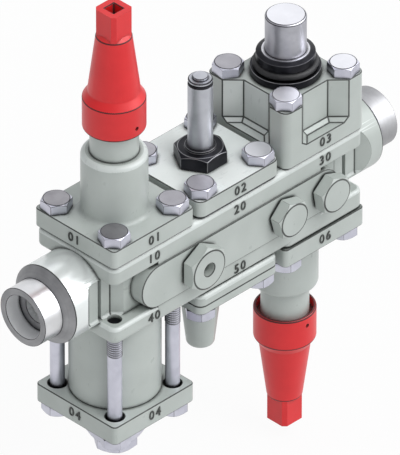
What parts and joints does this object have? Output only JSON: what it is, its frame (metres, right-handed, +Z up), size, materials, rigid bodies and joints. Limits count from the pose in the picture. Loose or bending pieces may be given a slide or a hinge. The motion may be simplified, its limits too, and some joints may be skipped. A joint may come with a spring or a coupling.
{
  "type": "valve station",
  "caption": "In-line valve station: one long housing with weld ends that carries stop valves under long caps, a strainer, a solenoid valve, a motor valve and a manual opener.",
  "frame": {"origin": "centre of the inlet weld end's open face", "axes": "+X along the flow from the inlet to the outlet, +Z up along the valve spindles, +Y to the back, so that the port plugs point along -Y"},
  "size_m": [0.33, 0.087, 0.411],
  "materials": {
    "coated_casting": "smooth grey-green coat, satin",
    "machined_steel": "turned and milled steel, satin",
    "zinc_fastener": "zinc-plated steel, slightly bluish",
    "red_cap": "smooth red coat, semi-gloss",
    "blackened_steel": "blackened steel, bare on its worn edges",
    "black_rubber": "matte",
    "gasket": "pressed fibre, matte",
    "seat": "smooth white polymer",
    "spring": "drawn steel wire"
  },
  "bodies": {
    "station": {"housing": "coated_casting", "inlet_bonnet": "coated_casting", "outlet_bonnet": "coated_casting", "strainer_barrel": "coated_casting", "strainer_cover": "coated_casting", "solenoid_cover": "coated_casting", "opener_cover": "coated_casting", "motor_body": "coated_casting", "port_plug_1": "coated_casting", "port_plug_2": "coated_casting", "port_plug_3": "coated_casting", "inlet_stub": "machined_steel", "outlet_stub": "machined_steel", "armature_tube": "machined_steel", "motor_tube": "machined_steel", "strainer_screen": "machined_steel", "inlet_gland": "machined_steel", "outlet_gland": "machined_steel", "opener_gland": "machined_steel", "inlet_bonnet_bolts": "zinc_fastener", "outlet_bonnet_bolts": "zinc_fastener", "strainer_bolts": "zinc_fastener", "solenoid_bolts": "zinc_fastener", "opener_bolts": "zinc_fastener", "motor_bolts": "zinc_fastener", "drain_adapter": "zinc_fastener", "drain_plug": "zinc_fastener", "motor_nut": "blackened_steel", "tube_nut": "blackened_steel", "motor_seal": "black_rubber", "port_gaskets": "gasket", "deck_gaskets": "gasket", "strainer_gaskets": "gasket", "drain_gaskets": "gasket", "inlet_packing": "gasket", "outlet_packing": "gasket", "inlet_seat": "seat", "outlet_seat": "seat", "piston_seat": "seat", "motor_seat": "seat", "armature_spring": "spring", "piston_spring": "spring"},
    "inlet_cone": {"inlet_cone": "machined_steel"},
    "inlet_spindle": {"inlet_spindle": "machined_steel"},
    "inlet_cap_seal": {"inlet_cap_seal": "black_rubber"},
    "inlet_cap": {"inlet_cap": "red_cap"},
    "outlet_cone": {"outlet_cone": "machined_steel"},
    "outlet_spindle": {"outlet_spindle": "machined_steel"},
    "outlet_cap_seal": {"outlet_cap_seal": "black_rubber"},
    "outlet_cap": {"outlet_cap": "red_cap"},
    "armature": {"armature": "machined_steel"},
    "pilot_piston": {"pilot_piston": "machined_steel"},
    "opener_ring": {"opener_ring": "machined_steel"},
    "opener_spindle": {"opener_spindle": "machined_steel"},
    "opener_cap_seal": {"opener_cap_seal": "black_rubber"},
    "opener_cap": {"opener_cap": "coated_casting"},
    "motor_rotor": {"motor_rotor": "machined_steel"},
    "motor_cone": {"motor_cone": "machined_steel"}
  },
  "joints": [
    {"name": "inlet_valve_close", "type": "slide", "parent": "station", "child": "inlet_cone", "axis": [0, 0, -1], "range_m": [0, 0.008]},
    {"name": "inlet_spindle_turn", "type": "hinge", "parent": "inlet_cone", "child": "inlet_spindle", "pos_m": [0.085, 0, 0.15], "axis": [0, 0, -1], "range_deg": [0, 1440]},
    {"name": "inlet_cap_lift", "type": "slide", "parent": "station", "child": "inlet_cap_seal", "axis": [0, 0, 1], "range_m": [0, 0.012]},
    {"name": "inlet_cap_turn", "type": "hinge", "parent": "inlet_cap_seal", "child": "inlet_cap", "pos_m": [0.085, 0, 0.122], "axis": [0, 0, 1], "range_deg": [0, 2160]},
    {"name": "outlet_valve_close", "type": "slide", "parent": "station", "child": "outlet_cone", "axis": [0, 0, 1], "range_m": [0, 0.008]},
    {"name": "outlet_spindle_turn", "type": "hinge", "parent": "outlet_cone", "child": "outlet_spindle", "pos_m": [0.245, 0, -0.15], "axis": [0, 0, 1], "range_deg": [0, 1440]},
    {"name": "outlet_cap_lift", "type": "slide", "parent": "station", "child": "outlet_cap_seal", "axis": [0, 0, -1], "range_m": [0, 0.012]},
    {"name": "outlet_cap_turn", "type": "hinge", "parent": "outlet_cap_seal", "child": "outlet_cap", "pos_m": [0.245, 0, -0.122], "axis": [0, 0, -1], "range_deg": [0, 2160]},
    {"name": "opener_push", "type": "slide", "parent": "station", "child": "opener_ring", "axis": [0, 0, 1], "range_m": [0, 0.004]},
    {"name": "opener_turn", "type": "hinge", "parent": "opener_ring", "child": "opener_spindle", "pos_m": [0.165, 0, -0.08], "axis": [0, 0, 1], "range_deg": [0, 960]},
    {"name": "opener_cap_lift", "type": "slide", "parent": "station", "child": "opener_cap_seal", "axis": [0, 0, -1], "range_m": [0, 0.012]},
    {"name": "opener_cap_turn", "type": "hinge", "parent": "opener_cap_seal", "child": "opener_cap", "pos_m": [0.165, 0, -0.055], "axis": [0, 0, -1], "range_deg": [0, 2160]},
    {"name": "armature_lift", "type": "slide", "parent": "station", "child": "armature", "axis": [0, 0, 1], "range_m": [0, 0.004], "stiffness_N_per_m": 600, "springref_m": -0.005, "deforming": ["armature_spring"]},
    {"name": "piston_lift", "type": "slide", "parent": "station", "child": "pilot_piston", "axis": [0, 0, 1], "range_m": [0, 0.006], "stiffness_N_per_m": 400, "springref_m": -0.01, "deforming": ["piston_spring"]},
    {"name": "rotor_turn", "type": "hinge", "parent": "station", "child": "motor_rotor", "pos_m": [0.245, 0, 0.1], "axis": [0, 0, -1], "range_deg": [0, 2880]},
    {"name": "motor_valve_open", "type": "slide", "parent": "station", "child": "motor_cone", "axis": [0, 0, 1], "range_m": [0, 0.008]}
  ],
  "couplings": [
    {"joint": "inlet_spindle_turn", "follows": "inlet_valve_close", "rad_per_m": 3141.6},
    {"joint": "inlet_cap_turn", "follows": "inlet_cap_lift", "rad_per_m": 3141.6},
    {"joint": "outlet_spindle_turn", "follows": "outlet_valve_close", "rad_per_m": 3141.6},
    {"joint": "outlet_cap_turn", "follows": "outlet_cap_lift", "rad_per_m": 3141.6},
    {"joint": "opener_turn", "follows": "opener_push", "rad_per_m": 4188.8},
    {"joint": "opener_cap_turn", "follows": "opener_cap_lift", "rad_per_m": 3141.6},
    {"joint": "rotor_turn", "follows": "motor_valve_open", "rad_per_m": 6283.2}
  ]
}
